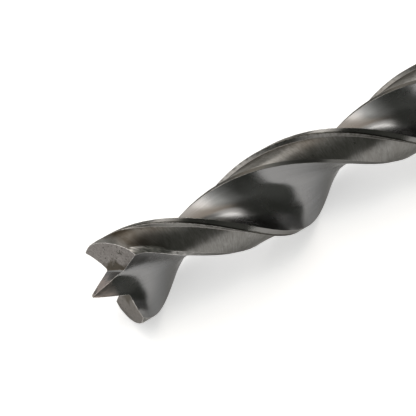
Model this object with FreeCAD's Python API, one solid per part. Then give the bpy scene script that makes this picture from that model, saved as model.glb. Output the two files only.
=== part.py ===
import FreeCAD, Part
import math
import os

# A brad point drill bit for wood: one solid of steel, lying on its side along X, tip towards -X.
# It is first made upright: the axis is Z, the spurs lie at z = 0 and the shank is above them.

# Driving dimensions, in millimetres and degrees
diameter = 10.0             # across the spurs and the margins
shank_diameter = 9.6
spur_to_end = 130.0         # from the spurs to the end of the shank
flute_length = 87.0         # from the spurs to where the flutes have left the steel
lead_length = 46.9          # one full turn of a flute
brad_height = 2.87          # how far the centre point stands ahead of the spurs
brad_flat = 0.04            # the blunt end of the centre point
shank_chamfer = 0.6
roll_on_table = 103.4       # how the bit is turned about its axis where it lies

# The body's section: one lobe lies from its leading edge at 0 back to its heel
web_radius = 1.1            # half of the core between the flutes
web_blend = 0.1             # where it starts to narrow towards the centre point
margin_width = 0.8          # the full-diameter strip behind each leading edge
margin_step = 0.5           # how far the land drops just behind the margin
step_angle = 2.5            # over this angle
land_drop = 1.0             # how far it has dropped where the heel's facet starts
middle_share = 0.85         # how much of that it has dropped half-way
heel_drop = 1.25            # how far below the full radius the heel's edge lies
facet_angle = 6.0           # width of the heel's facet
land_angle = 59.0           # from a leading edge back to its heel
floor_facing = 120.5        # where the flute's flat floor faces, ahead of the next lip
floor_start = 80.0          # where the floor begins at the foot of the heel's wall
floor_start_on_brad = 70.0
rake_foot = 180.0           # and where it turns up into the next lobe's rake face
rake_lag = 8.0              # the foot of the rake face lies this far ahead of its edge
# The heel's wall from its edge down to the floor: share of the heel's radius, angle behind it
heel_wall = [(1.0, 0.0), (0.82, 1.0), (0.55, 5.5)]
heel_wall_at_tip = [(1.0, 0.0), (0.8, -1.0), (0.47, -5.0)]

rake_shares = (0.3, 0.8, 1.3)  # the straight rake face, up to and past its leading edge

# At the tip the lobes are fuller, and the land isn't relieved
lip_advance = 19.0          # the lips stand this far ahead of the even helix
advance_fade = 4.0          # length over which that fades
heel_corner_z = 1.6         # where the heel's edge meets the end face
heel_growth = 21.0          # the lobe is this much wider there
growth_fade = 2.0
most_grown = 1.5            # ahead of that corner all this is ground away, and it levels off
most_tip_share = 1.2
core_turn_blend = 3.0       # how gently the floor starts to turn behind the lips
relief_start = 1.6          # behind this height the land drops away from the full radius
relief_length = 6.0

# Grinding of the end: one straight pass of a wheel over each lobe
slope_to_centre = 11.6      # the lips fall back from the spurs towards the centre
slope_behind = 4.6          # and the end faces fall back behind the lips
pass_facing = 47.9          # the pass runs square to this direction, behind the lip
brad_side_angle = 18.0      # the ground side of the centre point, off the axis
wheel_corner = 0.3          # radius left in the valley
brad_floor_angle = 14.8     # the flutes' floors at the centre point, off the axis

runout_length = 16.0        # the cutter is lifted out of the steel over this length
shoulder_gap = 1.0          # plain bar between the flutes' end and the shank

radius = diameter / 2
brad_z = -brad_height
shank_radius = shank_diameter / 2
outside_points = 9          # the cutter's back, well outside the bar
reach = 1.25 * radius       # the cutters reach this far out
clear = 0.1 * diameter      # and this far past the ends
land_clear = 0.01 * diameter  # and this far off the land while it isn't relieved
body_step = lead_length / 12  # spacing of the cutter's sections on the body
tip_step = 0.05 * diameter  # and at the tip, up to tip_fine, then twice that up to tip_coarse
tip_fine = 0.2 * diameter
tip_coarse = 0.6 * diameter
seam_angle = 140.0          # the bar's own seam starts in a flute, clear of both lips


def polar(r, angle, z):
    a = math.radians(angle)
    return FreeCAD.Vector(r * math.cos(a), r * math.sin(a), z)


def edge_angle(z):
    """Where the leading edge has turned to at height z, from zero at its spur."""
    if z < 0:
        return (360 / lead_length + lip_advance / advance_fade) * z
    return 360 * z / lead_length + lip_advance * (1 - math.exp(-z / advance_fade))


def core_angle(z):
    """Where the flute's floor has turned to: it stays put along the centre point and the lips."""
    turn = edge_angle(z) - rake_lag
    return (turn + math.hypot(turn, core_turn_blend)) / 2


def web_at(z):
    """Half of the core: it narrows to nothing along the centre point."""
    rise = math.tan(math.radians(brad_floor_angle)) * (z - brad_z) + brad_flat
    low = (rise + math.hypot(rise, brad_flat)) / 2
    gap = web_radius - low
    return web_radius - (gap + math.hypot(gap, web_blend)) / 2


def ramp(z, length):
    """Rises smoothly from 0 at z = 0 to 1 at the given length."""
    t = min(1.0, max(0.0, z / length))
    return t * t * (3 - 2 * t)


def limited(value, most):
    """The value itself while it is small, never more than most, with no corner between."""
    return value / (1 + (value / most) ** 4) ** 0.25


def lift_at(z):
    """How far the cutter has been lifted outwards along the run-out."""
    t = max(0.0, z - (flute_length - runout_length)) / runout_length
    return (radius - web_radius) * t * t


def section_points(z):
    """The cutter's outline at height z, as three runs of points: flute, outside and land."""
    edge = edge_angle(z)
    core = core_angle(z)
    web = web_at(z)
    lift = lift_at(z)
    relief = ramp(z - relief_start, relief_length)
    proud = land_clear * (1 - relief)
    grown = limited(math.exp((heel_corner_z - z) / growth_fade), most_grown)
    tip_share = limited(grown, most_tip_share)
    heel = edge + land_angle + heel_growth * grown
    heel_r = radius + proud - heel_drop * relief

    flute = []
    for body, tip in zip(heel_wall, heel_wall_at_tip):
        share = body[0] + (tip[0] - body[0]) * tip_share
        behind = body[1] + (tip[1] - body[1]) * tip_share
        flute.append(polar(heel_r * share + lift, heel + behind, z))
    start = floor_start_on_brad + (floor_start - floor_start_on_brad) * ramp(z, heel_corner_z)
    for angle in (start, floor_facing, (floor_facing + rake_foot) / 2, rake_foot):
        r = web / math.cos(math.radians(angle - floor_facing))
        flute.append(polar(r + lift, core + angle, z))
    foot = flute[-1]
    top = polar(radius + lift, edge + 180, z)
    for share in rake_shares:
        flute.append(foot + (top - foot) * share)

    end = flute[-1]
    out = math.hypot(end.x, end.y)
    behind_edge = math.degrees(margin_width / radius)
    first = math.degrees(math.atan2(end.y, end.x))
    first += 360 * round((edge + 180 - first) / 360)
    last = edge + behind_edge
    outside = [end]
    for k in range(1, outside_points):
        share = k / (outside_points - 1)
        outside.append(polar(out + (reach + lift - out) * share, first + (last - first) * share, z))

    def land(drop, angle):
        return polar(radius + proud - drop * relief + lift, edge + angle, z)

    facet = heel - edge - facet_angle
    land_start = behind_edge + step_angle
    middle = (land_start + facet) / 2
    step = [outside[-1], polar((reach + radius) / 2 + lift, last, z), land(margin_step, land_start)]
    relieved = [step[-1], land(middle_share * land_drop, middle), land(land_drop, facet)]
    strip = [relieved[-1], flute[0]]
    return [flute, outside, step, relieved, strip]


def flute_cutter():
    """One flute and the relief of the land beside it, over the whole length."""
    heights = []
    z = brad_z - tip_step
    while z < flute_length:
        heights.append(z)
        z += tip_step if z < tip_fine else 2 * tip_step if z < tip_coarse else body_step
    heights.append(flute_length + shoulder_gap / 2)
    wires = []
    for z in heights:
        edges = []
        for points in section_points(z):
            curve = Part.BSplineCurve()
            curve.buildFromPoles(points, False, min(3, len(points) - 1))
            edges.append(curve.toShape())
        wires.append(Part.Wire(edges))
    return Part.makeLoft(wires, True, False)


def blank():
    """The turned bar with its chamfered end."""
    shoulder = flute_length + shoulder_gap
    outline = [
        (0, brad_z), (radius, brad_z), (radius, shoulder),
        (shank_radius, shoulder + radius - shank_radius), (shank_radius, spur_to_end - shank_chamfer),
        (shank_radius - shank_chamfer, spur_to_end), (0, spur_to_end),
    ]
    points = [FreeCAD.Vector(x, 0, z) for x, z in outline]
    face = Part.Face(Part.makePolygon(points + points[:1]))
    face.rotate(FreeCAD.Vector(0, 0, 0), FreeCAD.Vector(0, 0, 1), seam_angle)
    return face.revolve(FreeCAD.Vector(0, 0, 0), FreeCAD.Vector(0, 0, 1), 360)


def wheel_pass():
    """What one pass of the wheel takes off: end face, valley and one side of the centre point."""
    facing = math.radians(pass_facing)
    outward = FreeCAD.Vector(math.cos(facing), math.sin(facing), 0)
    along = FreeCAD.Vector(-math.sin(facing), math.cos(facing), 0)
    to_centre = math.tan(math.radians(slope_to_centre))
    behind = math.tan(math.radians(slope_behind))
    rise_out = -to_centre * outward.x + behind * outward.y
    rise_along = -to_centre * along.x + behind * along.y
    travel = (along + FreeCAD.Vector(0, 0, rise_along)).normalize()
    side = math.tan(math.radians(brad_side_angle))
    centre_z = to_centre * radius
    corner = (side * (centre_z - brad_z) + brad_flat) / (1 - side * rise_out)
    low = brad_z - clear
    section = [
        (corner, centre_z + rise_out * corner), (reach, centre_z + rise_out * reach),
        (reach, low), (side * (low - brad_z) + brad_flat, low),
    ]
    start = travel * (-2 * radius)
    points = [start + outward * v + FreeCAD.Vector(0, 0, h) for v, h in section]
    face = Part.Face(Part.makePolygon(points + points[:1]))
    solid = face.extrude(travel * (4 * radius))
    valley = []
    for edge in solid.Edges:
        ends = [v.Point for v in edge.Vertexes]
        if edge.Length > 3 * radius and min(p.distanceToPoint(points[0]) for p in ends) < 1e-6:
            valley.append(edge)
    return solid.makeFillet(wheel_corner, valley)


def drill_bit():
    centre = FreeCAD.Vector(0, 0, 0)
    axis = FreeCAD.Vector(0, 0, 1)
    solid = blank()
    for cutter in (wheel_pass(), flute_cutter()):
        other = cutter.copy()
        other.rotate(centre, axis, 180)
        solid = solid.cut(cutter).cut(other)
    return solid


os.makedirs("parts", exist_ok=True)
bit = drill_bit()
bit = max(bit.Solids, key=lambda s: s.Volume)
bit.rotate(FreeCAD.Vector(0, 0, 0), FreeCAD.Vector(0, 0, 1), roll_on_table)
bit.rotate(FreeCAD.Vector(0, 0, 0), FreeCAD.Vector(0, 1, 0), 90)
bit.translate(FreeCAD.Vector(-(spur_to_end + brad_z) / 2, 0, radius))
bit.exportStep("parts/drill_bit.step")
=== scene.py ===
import bpy
import bmesh
import math
import numpy as np
from mathutils import Matrix, Vector, kdtree


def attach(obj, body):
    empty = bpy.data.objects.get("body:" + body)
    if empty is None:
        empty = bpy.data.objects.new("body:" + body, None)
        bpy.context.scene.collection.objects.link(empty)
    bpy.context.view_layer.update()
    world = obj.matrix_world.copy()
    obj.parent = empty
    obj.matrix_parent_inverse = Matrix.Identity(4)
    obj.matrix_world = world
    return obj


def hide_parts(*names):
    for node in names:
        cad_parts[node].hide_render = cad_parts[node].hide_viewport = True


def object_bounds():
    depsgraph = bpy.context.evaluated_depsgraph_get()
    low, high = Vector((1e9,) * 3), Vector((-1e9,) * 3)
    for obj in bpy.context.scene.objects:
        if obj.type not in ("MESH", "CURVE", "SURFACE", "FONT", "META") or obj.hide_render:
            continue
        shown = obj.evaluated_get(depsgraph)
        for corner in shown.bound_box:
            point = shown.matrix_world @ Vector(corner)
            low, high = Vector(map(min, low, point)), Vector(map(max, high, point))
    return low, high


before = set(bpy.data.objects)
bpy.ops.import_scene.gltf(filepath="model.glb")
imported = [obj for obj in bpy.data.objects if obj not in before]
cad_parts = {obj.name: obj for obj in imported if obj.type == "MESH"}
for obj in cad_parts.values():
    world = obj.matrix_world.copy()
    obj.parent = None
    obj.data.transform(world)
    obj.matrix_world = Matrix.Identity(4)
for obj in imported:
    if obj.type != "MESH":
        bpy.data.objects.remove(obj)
cad_low, cad_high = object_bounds()

# The bit is one piece of hardened tool steel. Its flutes are ground with a formed wheel that
# follows the helix, its lands and shank between centres, and its end with one straight pass of
# a wheel over each lip. Each way of grinding leaves marks that run its own way.
brad_height = 0.00287       # metres that the centre point stands ahead of the spurs
lead = 0.0469               # one full turn of a flute
lip_advance = math.radians(19)      # how far the lips stand ahead of the even helix
advance_fade = 0.004        # the length over which that fades
roll_on_table = math.radians(103.4)
margin_angle = math.radians(9.2)
step_angle = math.radians(2.5)
facet_angle = math.radians(6)
land_angle = math.radians(59)
flute_length = 0.087
heel_corner = 0.0016        # here the heel's edge meets the end face,
heel_growth = math.radians(21)      # and the lobe is this much wider
growth_fade = 0.002
land_radius = 0.0034        # the lands and margins lie further out than this
end_depth = 0.0022          # the wheel's passes reach this far behind the spurs
pass_facing = math.radians(47.9)
slope_to_centre = math.tan(math.radians(11.6))
slope_behind = math.tan(math.radians(4.6))
most_along_pass = 0.03      # a face that a pass has ground hardly faces along the pass,
most_outward = 0.6          # and it doesn't face outwards, away from the axis
crease = math.radians(22)

spur_x = cad_low[0] + brad_height
centre = Vector((spur_x, 0, (cad_low[2] + cad_high[2]) / 2))
edge_turn = roll_on_table - math.pi / 2     # where the first lip's spur lies about the axis
pass_turn = edge_turn + pass_facing
rise = slope_to_centre * math.sin(pass_facing) + slope_behind * math.cos(pass_facing)
travel = Vector((rise, -math.sin(pass_turn), math.cos(pass_turn))).normalized()
FLUTE, LAND, END, SHANK = range(4)


def lead_turn(behind):
    """How far the lips' edges have turned about the axis, this far behind the spurs."""
    return 2 * math.pi * behind / lead + lip_advance * (1 - np.exp(-behind / advance_fade))


def heel_turn(behind):
    """How far the heel's edge lies behind its lobe's leading edge, as an angle."""
    return land_angle + heel_growth * np.exp((heel_corner - np.maximum(behind, 0)) / growth_fade)


def finish_of(face):
    """Which grinding a face got, from its place along and about the axis and from its normal."""
    spot = face.calc_center_median() - centre
    out = Vector((0, spot.y, spot.z))
    side = 1 if out.dot(Vector((0, math.cos(pass_turn), math.sin(pass_turn)))) > 0 else -1
    swept = Vector((travel.x, side * travel.y, side * travel.z))
    outward = face.normal.dot(out.normalized())
    along_the_pass = abs(face.normal.dot(swept))
    if spot.x < end_depth and along_the_pass < most_along_pass and outward < most_outward:
        return END
    if spot.x > flute_length:
        return SHANK
    turned = (math.atan2(out.z, out.y) - edge_turn - lead_turn(spot.x)) % math.pi
    on_land = turned < heel_turn(spot.x) and out.length > land_radius and outward > 0
    return LAND if on_land else FLUTE


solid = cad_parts["drill_bit"]
bit_mesh = solid.data.copy()
bit_mesh.name = "twist_bit"
bit_mesh.materials.clear()
shape = bmesh.new()
shape.from_mesh(bit_mesh)
bmesh.ops.remove_doubles(shape, verts=shape.verts, dist=1e-6)
for face in shape.faces:
    face.smooth = True
    face.material_index = finish_of(face)
for edge in shape.edges:
    if edge.is_manifold and edge.calc_face_angle(0.0) > crease:
        edge.smooth = False
shape.to_mesh(bit_mesh)
shape.free()

# Each shading normal is fitted to its neighbours' along the helix, so that the ground faces
# reflect without steps, and the lands' are then turned to look as round as real ones.
even_reach = 0.0018         # neighbours within this distance count
even_limit = math.cos(math.radians(30))     # unless they face away by more than this
even_falloff = 4            # how fast their weight falls with the distance
even_slack = 0.02           # keeps the fit steady where they lie in one line
fewest_alike = 6            # a normal with fewer neighbours stays as it is
same_place = 1e-6           # corners this close, whose normals are as close as this,
same_way = 1e-3             # are fitted once
even_along = 0.12           # a length along the body counts for this share of itself,
tip_along = 0.7             # and for more at the tip, where the form changes
front_start = 0.0006        # from here the lands look rounder near the tip,
relief_start = 0.0016       # and from here on their relief grows
relief_length = 0.006
at_front = math.radians(12)         # how far the normals turn about the axis near the tip,
at_margin = math.radians(-9)        # and further back at the margin
at_heel = math.radians(16)          # and at the heel
front_end = 0.95            # share of the land's width at which the turn near the tip ends
front_fade = 0.15           # and over which it fades


def read(items, name, width=1, kind=float):
    """One value, or one row of them, for each of a mesh's corners, vertices or faces."""
    values = np.empty(len(items) * width, kind)
    items.foreach_get(name, values)
    return values.reshape(-1, width) if width > 1 else values


def twisted(vectors, turns):
    """The vectors, each turned about the axis by its own angle."""
    x, y, z = vectors.T
    cos, sin = np.cos(turns), np.sin(turns)
    return np.stack([x, y * cos - z * sin, y * sin + z * cos], 1)


def across_land(spots):
    """How far across its land each spot lies, from 0 behind the margin's step to 1 at the facet."""
    behind = spots[:, 0]
    about = np.arctan2(spots[:, 2], spots[:, 1]) - edge_turn - lead_turn(behind)
    start = margin_angle + step_angle
    return (about % math.pi - start) / (heel_turn(behind) - facet_angle - start)


def rounding_turns(mesh, spots):
    """How far each corner's normal turns about the axis, which is nothing outside the lands."""
    of_faces = across_land(read(mesh.polygons, "center", 3) - np.array(centre))
    on_land = read(mesh.polygons, "material_index", kind=int) == LAND
    between = np.repeat(
        on_land & (of_faces > 0) & (of_faces < 1),
        read(mesh.polygons, "loop_total", kind=int),
    )
    share = np.clip(across_land(spots), 0, 1)
    grown = np.clip((spots[:, 0] - relief_start) / relief_length, 0, 1)
    grown = grown * grown * (3 - 2 * grown)
    front = np.clip((spots[:, 0] - front_start) / (relief_start - front_start), 0, 1) * (1 - grown)
    front = front * np.clip((front_end - share) / front_fade, 0, 1)
    return between * (grown * (at_margin + (at_heel - at_margin) * share) + front * at_front)


def fitted_to_neighbours(places, normals):
    """Each normal, fitted like a plane to those of its neighbours on this flute and the other."""
    all_places = np.vstack([places, places * (1, -1, -1)])
    all_normals = np.vstack([normals, normals * (1, -1, -1)])
    tree = kdtree.KDTree(len(all_places))
    for number, place in enumerate(all_places):
        tree.insert(place, number)
    tree.balance()
    slack = even_slack * np.diag([0, 1, 1, 1])
    fitted = normals.copy()
    for number, (place, normal) in enumerate(zip(places, normals)):
        near = [found[1] for found in tree.find_range(place, even_reach)]
        alike = [other for other in near if all_normals[other] @ normal > even_limit]
        if len(alike) < fewest_alike:
            continue
        off = (all_places[alike] - place) / even_reach
        weight = np.exp(-even_falloff * (off ** 2).sum(1))[:, None]
        known = np.hstack([np.ones((len(alike), 1)), off])
        wanted = known.T @ (weight * all_normals[alike])
        fitted[number] = np.linalg.solve(known.T @ (weight * known) + slack, wanted)[0]
    return fitted


def even_normals(mesh):
    """Evens the shading normals in the frame of the untwisted flutes, and rounds the lands."""
    corners = read(mesh.loops, "vertex_index", kind=int)
    spots = read(mesh.vertices, "co", 3)[corners] - np.array(centre)
    normals = read(mesh.corner_normals, "vector", 3)
    turns = lead_turn(spots[:, 0])
    normals = twisted(normals, -turns)
    places = twisted(spots, -turns)
    at_tip = advance_fade * (1 - np.exp(-spots[:, 0] / advance_fade))
    places[:, 0] = even_along * spots[:, 0] + (tip_along - even_along) * at_tip
    keys = np.round(np.hstack([places / same_place, normals / same_way]))
    first, back = np.unique(keys, axis=0, return_index=True, return_inverse=True)[1:]
    fitted = fitted_to_neighbours(places[first], normals[first])[back.ravel()]
    fitted = twisted(fitted, turns + rounding_turns(mesh, spots))
    fitted /= np.linalg.norm(fitted, axis=1)[:, None]
    mesh.normals_split_custom_set(fitted.tolist())


even_normals(bit_mesh)
bit = bpy.data.objects.new("twist_bit", bit_mesh)
bpy.context.scene.collection.objects.link(bit)


def math_node(tree, operation, first, second=None):
    step = tree.nodes.new("ShaderNodeMath")
    step.operation = operation
    for socket, value in zip(step.inputs, (first, second)):
        if isinstance(value, (int, float)):
            socket.default_value = value
        elif value is not None:
            tree.links.new(value, socket)
    return step.outputs[0]


def plus(tree, first, second):
    return math_node(tree, "ADD", first, second)


def minus(tree, first, second):
    return math_node(tree, "SUBTRACT", first, second)


def times(tree, first, second):
    return math_node(tree, "MULTIPLY", first, second)


def fading(tree, behind, length):
    """One at the spurs, fading away behind them."""
    return math_node(tree, "EXPONENT", times(tree, behind, -1 / length))


def spread(tree, value, given, wanted):
    """The value laid out from its given range to the wanted one, and held at both ends."""
    fit = tree.nodes.new("ShaderNodeMapRange")
    for name, number in zip(("From Min", "From Max", "To Min", "To Max"), (*given, *wanted)):
        fit.inputs[name].default_value = number
    tree.links.new(value, fit.inputs["Value"])
    return fit.outputs["Result"]


def blend_colour(tree, amount, first, second):
    mix = tree.nodes.new("ShaderNodeMix")
    mix.data_type = "RGBA"
    tree.links.new(amount, mix.inputs["Factor"])
    for socket, colour in ((mix.inputs["A"], first), (mix.inputs["B"], second)):
        if isinstance(colour, tuple):
            socket.default_value = (*colour, 1)
        else:
            tree.links.new(colour, socket)
    return mix.outputs["Result"]


def parts_of(tree, place):
    apart = tree.nodes.new("ShaderNodeSeparateXYZ")
    tree.links.new(place, apart.inputs[0])
    return tuple(apart.outputs)


def from_axis(tree):
    """The place of a point of the surface, measured from the spurs' plane on the axis."""
    spot = tree.nodes.new("ShaderNodeTexCoord")
    shift = tree.nodes.new("ShaderNodeVectorMath")
    shift.operation = "SUBTRACT"
    shift.inputs[1].default_value = centre
    tree.links.new(spot.outputs["Object"], shift.inputs[0])
    return shift.outputs[0]


def unwound(tree):
    """The same place with the flutes' twist taken out, so that they run straight along X."""
    spot = from_axis(tree)
    behind = parts_of(tree, spot)[0]
    even = times(tree, behind, 2 * math.pi / lead)
    ahead = times(tree, minus(tree, 1.0, fading(tree, behind, advance_fade)), lip_advance)
    turn = tree.nodes.new("ShaderNodeVectorRotate")
    turn.rotation_type = "X_AXIS"
    tree.links.new(spot, turn.inputs["Vector"])
    tree.links.new(times(tree, plus(tree, even, ahead), -1), turn.inputs["Angle"])
    return turn.outputs[0]


def along_pass(tree):
    """The same place turned so that the end's grinding marks run along its Y."""
    turn = tree.nodes.new("ShaderNodeVectorRotate")
    turn.rotation_type = "X_AXIS"
    turn.inputs["Angle"].default_value = -pass_turn
    tree.links.new(from_axis(tree), turn.inputs["Vector"])
    swap = tree.nodes.new("ShaderNodeMapping")
    swap.inputs["Rotation"].default_value = (0, 0, math.pi / 2)
    tree.links.new(turn.outputs[0], swap.inputs["Vector"])
    return swap.outputs[0]


def marks(tree, place, scale, detail=2.0, roughness=0.5):
    """Noise stretched into marks: scale is how many there are in a metre along X, Y and Z."""
    stretch = tree.nodes.new("ShaderNodeMapping")
    stretch.inputs["Scale"].default_value = scale
    tree.links.new(place, stretch.inputs["Vector"])
    noise = tree.nodes.new("ShaderNodeTexNoise")
    noise.inputs["Scale"].default_value = 1.0
    noise.inputs["Detail"].default_value = detail
    noise.inputs["Roughness"].default_value = roughness
    tree.links.new(stretch.outputs[0], noise.inputs["Vector"])
    return noise.outputs["Fac"]


def specks(tree, per_metre, detail=2.0):
    """Noise with no direction of its own."""
    return marks(tree, from_axis(tree), (per_metre, per_metre, per_metre), detail)


noise_range = (0.3, 0.7)            # nearly all of the noise lies in this range
fine = 3.0                          # noise detail that gives it ragged borders
# the colour of worn edges, which is partly a painted highlight, and of the painted highlight line at
# the margin's step
wear_and_highlight_colour = (0.66, 0.64, 0.62)
# the colour of nicks and scratches, and of the painted shade on the margin's step wall
nick_and_shade_colour = (0.05, 0.048, 0.042)
# the colour of the painted shade in corners and in the valley round the centre point
painted_shade_colour = (0.05, 0.042, 0.03)

stain_colour = (0.055, 0.043, 0.03)
stain_rise = (0.001, 0.0022)        # where the stain begins and is full, behind the spurs
stain_fade = (0.0035, 0.006)        # and where it fades and ends
stain_clouds = 330                  # in a metre, as all counts of marks and specks are
cloud_range = (0.3, 0.55)
stain_strength = (0.6, 0.95)


def with_stain(tree, behind, finish):
    """A cloudy brown stain across the land, close behind the end face."""
    cloud = spread(tree, specks(tree, stain_clouds, fine), cloud_range, stain_strength)
    begun = spread(tree, behind, stain_rise, (0, 1))
    stain = times(tree, begun, spread(tree, behind, stain_fade, (1, 0)))
    return blend_colour(tree, times(tree, stain, cloud), finish, stain_colour)


border_soft = 0.01                  # half of a border's soft width about the axis, in radians


def up_to(tree, turned, border):
    return spread(tree, turned, (border + border_soft, border - border_soft), (0, 1))


def beyond(tree, turned, border):
    return spread(tree, turned, (border - border_soft, border + border_soft), (0, 1))


margin_colour = (0.19, 0.187, 0.18)
margin_polish = 0.12                # how much smoother it is than the land
wall_reach = 0.03                   # the step's wall is painted dark, as shade, from this far ahead of it
line_width = 0.035
line_fade = 0.009                   # the painted highlight line fades over this length behind the tip
line_dullness = 0.3
margin_specks = 2600


def with_margin(tree, turned, behind, finish, rough):
    """A dark polished margin, painted shade on its step's wall, and a painted highlight line along
    the step's foot.
    """
    specked = specks(tree, margin_specks, fine)
    wander = plus(tree, turned, spread(tree, specked, noise_range, (-border_soft, border_soft)))
    on_margin = up_to(tree, wander, margin_angle - border_soft)
    finish = blend_colour(tree, on_margin, finish, margin_colour)
    rough = minus(tree, rough, times(tree, on_margin, margin_polish))
    foot = margin_angle + step_angle / 2
    # painted shade: the step's wall is darkened as if it lay in shadow
    wall = times(tree, beyond(tree, wander, margin_angle - wall_reach), up_to(tree, wander, foot))
    finish = blend_colour(tree, wall, finish, nick_and_shade_colour)
    # painted highlight: a bright line along the step's foot stands in for a glint
    line = times(tree, beyond(tree, wander, foot), up_to(tree, wander, foot + line_width))
    line = times(tree, line, fading(tree, behind, line_fade))
    finish = blend_colour(tree, line, finish, wear_and_highlight_colour)
    return finish, plus(tree, rough, times(tree, line, line_dullness))


facet_colour = (0.1, 0.1, 0.095)
facet_strength = 0.85
strip_width = math.radians(5)
strip_growth = math.radians(9)      # how much wider the strip is at the tip
strip_fade = 0.005
strip_start = (0.1, 0.5)            # it begins, and is full, where this share of that is left
strip_border = (1.15, 0.8)          # it fades out between these shares of its width
strip_marks = (500, 1500, 1500)
strip_ragged = (0.6, 1.3)           # its width varies between these shares
burr_marks = (1500, 3400, 3400)
burr_range = (0.4, 0.66)
burr_light = (0.8, 0.785, 0.76)
burr_dark = (0.28, 0.275, 0.265)
burr_height = 2.5                   # times the depth of the grinding marks


def with_heel(tree, turned, behind, finish, height):
    """The heel's dark facet, and over it, near the tip, a bright strip of burrs."""
    growth = heel_growth * math.exp(heel_corner / growth_fade)
    heel = plus(tree, times(tree, fading(tree, behind, growth_fade), growth), land_angle)
    to_heel = minus(tree, heel, turned)
    facet = times(tree, up_to(tree, to_heel, facet_angle), facet_strength)
    finish = blend_colour(tree, facet, finish, facet_colour)
    near_tip = fading(tree, behind, strip_fade)
    width = plus(tree, times(tree, near_tip, strip_growth), strip_width)
    ragged = spread(tree, marks(tree, unwound(tree), strip_marks), noise_range, strip_ragged)
    share = math_node(tree, "DIVIDE", to_heel, times(tree, width, ragged))
    strip = spread(tree, share, strip_border, (0, 1))
    strip = times(tree, strip, spread(tree, near_tip, strip_start, (0, 1)))
    burrs = marks(tree, unwound(tree), burr_marks, fine)
    mottle = blend_colour(tree, spread(tree, burrs, burr_range, (0, 1)), burr_dark, burr_light)
    finish = blend_colour(tree, strip, finish, mottle)
    raised = times(tree, times(tree, strip, burrs), burr_height)
    return finish, plus(tree, height, raised)


def land_zones(tree, finish, rough, height):
    """The lands, with what lies across them from the margin to the heel."""
    along, across, up = parts_of(tree, unwound(tree))
    behind = math_node(tree, "MAXIMUM", along, 0.0)
    about = minus(tree, math_node(tree, "ARCTAN2", up, across), edge_turn)
    turned = math_node(tree, "FLOORED_MODULO", about, math.pi)
    finish = with_stain(tree, behind, finish)
    finish, rough = with_margin(tree, turned, behind, finish, rough)
    finish, height = with_heel(tree, turned, behind, finish, height)
    return finish, rough, height


rubbed_colour = (0.39, 0.335, 0.315)
rubbed_rise = (0.0, 0.0009)         # ahead of the spurs
rubbed_dullness = 0.15
rubbed_specks = 1500
streak_marks = (900, 4200, 4200)
streak_range = (0.35, 0.6)
streak_strength = (0.45, 1)
border_wander = 0.0004              # how far a worn place's border wanders


def flute_zones(tree, finish, rough, height):
    """The centre point, where the floors of the flutes are rubbed dull and brownish."""
    behind = parts_of(tree, from_axis(tree))[0]
    specked = specks(tree, rubbed_specks, fine)
    ragged = spread(tree, specked, noise_range, (-border_wander, border_wander))
    rubbed = spread(tree, minus(tree, ragged, behind), rubbed_rise, (0, 1))
    streaks = marks(tree, from_axis(tree), streak_marks)
    rubbed = times(tree, rubbed, spread(tree, streaks, streak_range, streak_strength))
    finish = blend_colour(tree, rubbed, finish, rubbed_colour)
    return finish, plus(tree, rough, times(tree, rubbed, rubbed_dullness)), height


valley_shade_strength = 0.85
valley_shade_inside = (0.0008, 0.0014)     # the painted shade is a ring about the axis,
valley_shade_outside = (0.0027, 0.0021)    # with these inner and outer borders
valley_shade_specks = 1100
scratch_marks = (3400, 520, 3400)
scratch_range = (0.67, 0.7)         # only the noise's peaks are scratches
scratch_strength = 0.8


def end_zones(tree, finish, rough, height):
    """Painted shade in the valley round the centre point, and a few deeper scratches."""
    across, up = parts_of(tree, from_axis(tree))[1:]
    out = math_node(tree, "SQRT", plus(tree, times(tree, across, across), times(tree, up, up)))
    specked = specks(tree, valley_shade_specks)
    ragged = spread(tree, specked, noise_range, (-border_wander, border_wander))
    out = plus(tree, out, ragged)
    # painted shade darkens a ring in the valley round the centre point
    valley_shade = times(
        tree,
        spread(tree, out, valley_shade_outside, (0, valley_shade_strength)),
        spread(tree, out, valley_shade_inside, (0, 1)),
    )
    finish = blend_colour(tree, valley_shade, finish, painted_shade_colour)
    scratch = marks(tree, along_pass(tree), scratch_marks, 1.0)
    scratch = spread(tree, scratch, scratch_range, (0, scratch_strength))
    finish = blend_colour(tree, scratch, finish, nick_and_shade_colour)
    return finish, rough, minus(tree, height, scratch)


edge_round = 0.00008
edge_samples = 6
edge_turning = (0.998, 0.96)        # cosine between the rounded and the plain normal
wear_highlight_spots = (0.35, 0.6)
wear_highlight_strength = (0.35, 1)
wear_highlight_fade = (0.008, 0.02)           # the edges are worn and painted bright at the tip, and little behind it
wear_highlight_far_back = 0.2


def worn_and_highlit_edges(tree, rounded, pits):
    """Wear, and a painted highlight, in spots where the surface turns over an edge."""
    turning = tree.nodes.new("ShaderNodeVectorMath")
    turning.operation = "DOT_PRODUCT"
    tree.links.new(rounded, turning.inputs[0])
    tree.links.new(tree.nodes.new("ShaderNodeNewGeometry").outputs["Normal"], turning.inputs[1])
    near_edge = spread(tree, turning.outputs["Value"], edge_turning, (0, 1))
    near_edge = times(tree, near_edge, spread(tree, pits, wear_highlight_spots, wear_highlight_strength))
    behind = parts_of(tree, from_axis(tree))[0]
    return times(tree, near_edge, spread(tree, behind, wear_highlight_fade, (1, wear_highlight_far_back)))


painted_shade_reach = 0.0013
painted_shade_opening = (0.35, 0.85)         # how open a corner is where the painted shade is full and ends
painted_shade_strength = 0.7


def corner_painted_shade(tree):
    """Painted shade, where other faces close a corner in."""
    corner = tree.nodes.new("ShaderNodeAmbientOcclusion")
    corner.samples = edge_samples
    corner.inputs["Distance"].default_value = painted_shade_reach
    return spread(tree, corner.outputs["AO"], painted_shade_opening, (painted_shade_strength, 0))


rim_tint = (0.55, 0.54, 0.52)       # how much it reflects at a grazing angle
line_roughness = 0.6
patch_specks = 420
patch_tone = (0.4, 1.25)            # how light the lines are in its dark and light patches
dull_range = (0.35, 0.7)
pit_specks = 2300
pit_soft = 0.04
pit_strength = 0.75


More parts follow.
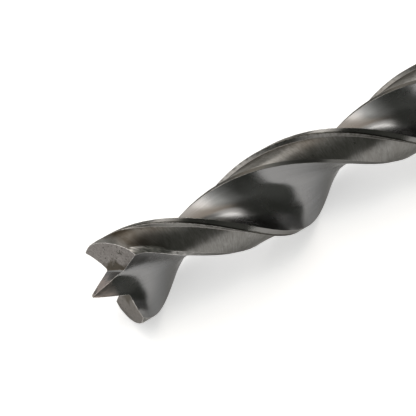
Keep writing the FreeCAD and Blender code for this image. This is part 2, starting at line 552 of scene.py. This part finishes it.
def ground_steel(name, place_of, scale, colour, dark, polish, depth, nicks, zones=None):
    """Steel with grinding marks of this depth. polish is the roughness of its smooth and its dull
    places, and nicks is how high the noise has to be to leave a pit."""
    steel = bpy.data.materials.new(name)
    steel.use_nodes = True
    tree = steel.node_tree
    shader = tree.nodes["Principled BSDF"]
    shader.inputs["Metallic"].default_value = 1.0
    shader.inputs["Specular Tint"].default_value = (*rim_tint, 1)
    lines = marks(tree, place_of(tree), scale, roughness=line_roughness)
    patches = specks(tree, patch_specks, fine)
    pits = specks(tree, pit_specks)
    rounded = tree.nodes.new("ShaderNodeBevel")
    rounded.samples = edge_samples
    rounded.inputs["Radius"].default_value = edge_round

    light_lines = spread(tree, lines, noise_range, (0, 1))
    tone = times(tree, light_lines, spread(tree, patches, noise_range, patch_tone))
    finish = blend_colour(tree, tone, dark, colour)
    rough = spread(tree, patches, dull_range, polish)
    height = lines
    if zones:
        finish, rough, height = zones(tree, finish, rough, height)
    pitted = spread(tree, pits, (nicks, nicks + pit_soft), (0, pit_strength))
    finish = blend_colour(tree, pitted, finish, nick_and_shade_colour)
    # painted shade in corners, from the occlusion of other faces
    finish = blend_colour(tree, corner_painted_shade(tree), finish, painted_shade_colour)
    # edges lightened by wear, and partly as a painted highlight
    finish = blend_colour(tree, worn_and_highlit_edges(tree, rounded.outputs[0], pits), finish, wear_and_highlight_colour)
    tree.links.new(finish, shader.inputs["Base Color"])
    tree.links.new(rough, shader.inputs["Roughness"])

    bump = tree.nodes.new("ShaderNodeBump")
    bump.inputs["Distance"].default_value = depth
    tree.links.new(height, bump.inputs["Height"])
    tree.links.new(rounded.outputs[0], bump.inputs["Normal"])
    tree.links.new(bump.outputs[0], shader.inputs["Normal"])
    return steel


flute_steel = ground_steel(
    "flute_steel", unwound, scale=(160, 7000, 7000),
    colour=(0.25, 0.25, 0.253), dark=(0.222, 0.222, 0.222),
    polish=(0.2, 0.3), depth=2e-6, nicks=0.76, zones=flute_zones,
)
land_steel = ground_steel(
    "land_steel", from_axis, scale=(5200, 1400, 1400),
    colour=(0.25, 0.247, 0.238), dark=(0.165, 0.16, 0.15),
    polish=(0.3, 0.42), depth=3.5e-6, nicks=0.72, zones=land_zones,
)
end_steel = ground_steel(
    "end_steel", along_pass, scale=(4600, 300, 4600),
    colour=(0.235, 0.221, 0.213), dark=(0.14, 0.131, 0.124),
    polish=(0.32, 0.45), depth=5e-6, nicks=0.66, zones=end_zones,
)
shank_steel = ground_steel(
    "shank_steel", from_axis, scale=(7200, 500, 500),
    colour=(0.29, 0.288, 0.283), dark=(0.22, 0.218, 0.212),
    polish=(0.2, 0.3), depth=2.5e-6, nicks=0.72,
)
for steel in (flute_steel, land_steel, end_steel, shank_steel):     # in the order of FLUTE to SHANK
    bit_mesh.materials.append(steel)
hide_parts("drill_bit")
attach(bit, "root")

# The floor is a sheet of white paper. The camera and reflections see it lit from within a
# little, so that it stays white, and the bit's own shadow still falls on it.
paper_reach = 3.0
paper_glow = 0.55
sheet = bmesh.new()
bmesh.ops.create_grid(sheet, x_segments=1, y_segments=1, size=paper_reach)
floor_mesh = bpy.data.meshes.new("floor")
sheet.to_mesh(floor_mesh)
sheet.free()
floor = bpy.data.objects.new("floor", floor_mesh)
bpy.context.scene.collection.objects.link(floor)
paper = bpy.data.materials.new("white_paper")
paper.use_nodes = True
card = paper.node_tree.nodes["Principled BSDF"]
card.inputs["Base Color"].default_value = (0.85, 0.85, 0.85, 1)
card.inputs["Roughness"].default_value = 0.9
card.inputs["Specular IOR Level"].default_value = 0.0
card.inputs["Emission Color"].default_value = (1, 1, 1, 1)
ray = paper.node_tree.nodes.new("ShaderNodeLightPath")
seen = ray.outputs["Is Camera Ray"]
for other in ("Is Glossy Ray", "Is Transmission Ray"):
    seen = math_node(paper.node_tree, "MAXIMUM", seen, ray.outputs[other])
glow = times(paper.node_tree, seen, paper_glow)
paper.node_tree.links.new(glow, card.inputs["Emission Strength"])
floor_mesh.materials.append(paper)

# The studio is a dim room. A white screen and two bright lamps stand behind the bit, a broad
# light stands to the left of it, and a warm light and a bright lamp hang over it. Fainter
# lights overhead and beside the camera keep the near side from going black.
room_colour = (0.075, 0.078, 0.068)
world = bpy.data.worlds.new("studio")
bpy.context.scene.world = world
world.use_nodes = True
room = world.node_tree
looking = room.nodes.new("ShaderNodeTexCoord").outputs["Generated"]


def soft_light(azimuth, elevation, inner, outer, colour):
    """Light from one direction: full inside the inner angle, none outside the outer one."""
    turn = math.radians(azimuth)
    climb = math.radians(elevation)
    aim = (math.cos(turn) * math.cos(climb), math.sin(turn) * math.cos(climb), math.sin(climb))
    toward = room.nodes.new("ShaderNodeVectorMath")
    toward.operation = "DOT_PRODUCT"
    toward.inputs[1].default_value = aim
    room.links.new(looking, toward.inputs[0])
    edge = room.nodes.new("ShaderNodeMapRange")
    edge.interpolation_type = "SMOOTHSTEP"
    edge.inputs["From Min"].default_value = math.cos(math.radians(outer))
    edge.inputs["From Max"].default_value = math.cos(math.radians(inner))
    room.links.new(toward.outputs["Value"], edge.inputs["Value"])
    lamp = room.nodes.new("ShaderNodeVectorMath")
    lamp.operation = "SCALE"
    lamp.inputs[0].default_value = colour
    room.links.new(edge.outputs["Result"], lamp.inputs["Scale"])
    return lamp.outputs[0]


light = room.nodes.new("ShaderNodeCombineXYZ").outputs[0]
for socket, value in zip(light.node.inputs, room_colour):
    socket.default_value = value
for lamp in (
    soft_light(50, 12, 12, 40, (0.45, 0.44, 0.42)),         # the screen
    soft_light(46, 29, 2, 13, (3.2, 3.1, 3.0)),             # the two lamps over it
    soft_light(48, 46, 3, 16, (1.3, 1.25, 1.2)),
    soft_light(150, 30, 20, 50, (1.6, 1.6, 1.6)),           # the broad light on the left
    soft_light(88, 8, 12, 26, (0.5, 0.48, 0.47)),           # a low one between it and the screen
    soft_light(95, 66, 12, 29, (0.9, 0.76, 0.63)),          # the warm light overhead
    soft_light(160, 74, 2, 15, (2.6, 2.5, 2.4)),            # the bright lamp overhead
    soft_light(0, 90, 2, 20, (0.45, 0.45, 0.43)),
    soft_light(-118, 70, 4, 26, (0.4, 0.4, 0.385)),         # those over and beside the camera
    soft_light(-130, 75, 3, 14, (0.7, 0.7, 0.68)),
    soft_light(-70, 28, 8, 36, (0.08, 0.08, 0.075)),
):
    both = room.nodes.new("ShaderNodeVectorMath")
    both.operation = "ADD"
    room.links.new(light, both.inputs[0])
    room.links.new(lamp, both.inputs[1])
    light = both.outputs[0]
room.links.new(light, room.nodes["Background"].inputs["Color"])

# The camera looks down on the tip from the front left through a long lens, and it is level
# from side to side.
eye = Vector((-0.162783, -0.132345, 0.162158))
view_turn = math.radians(-130.3026)         # the side of the bit that the camera looks from
view_climb = math.radians(41.5368)
back = Vector((
    math.cos(view_turn) * math.cos(view_climb),
    math.sin(view_turn) * math.cos(view_climb),
    math.sin(view_climb),
))
right = Vector((-math.sin(view_turn), math.cos(view_turn), 0.0))
up = back.cross(right)
lens = bpy.data.cameras.new("camera")
lens.sensor_width = 36.0
lens.lens = 186.38
lens.clip_start = 0.01
lens.clip_end = 10.0
camera = bpy.data.objects.new("camera", lens)
bpy.context.scene.collection.objects.link(camera)
camera.matrix_world = Matrix.Translation(eye) @ Matrix((right, up, back)).transposed().to_4x4()
bpy.context.scene.camera = camera
bpy.context.scene.view_settings.view_transform = "Standard"
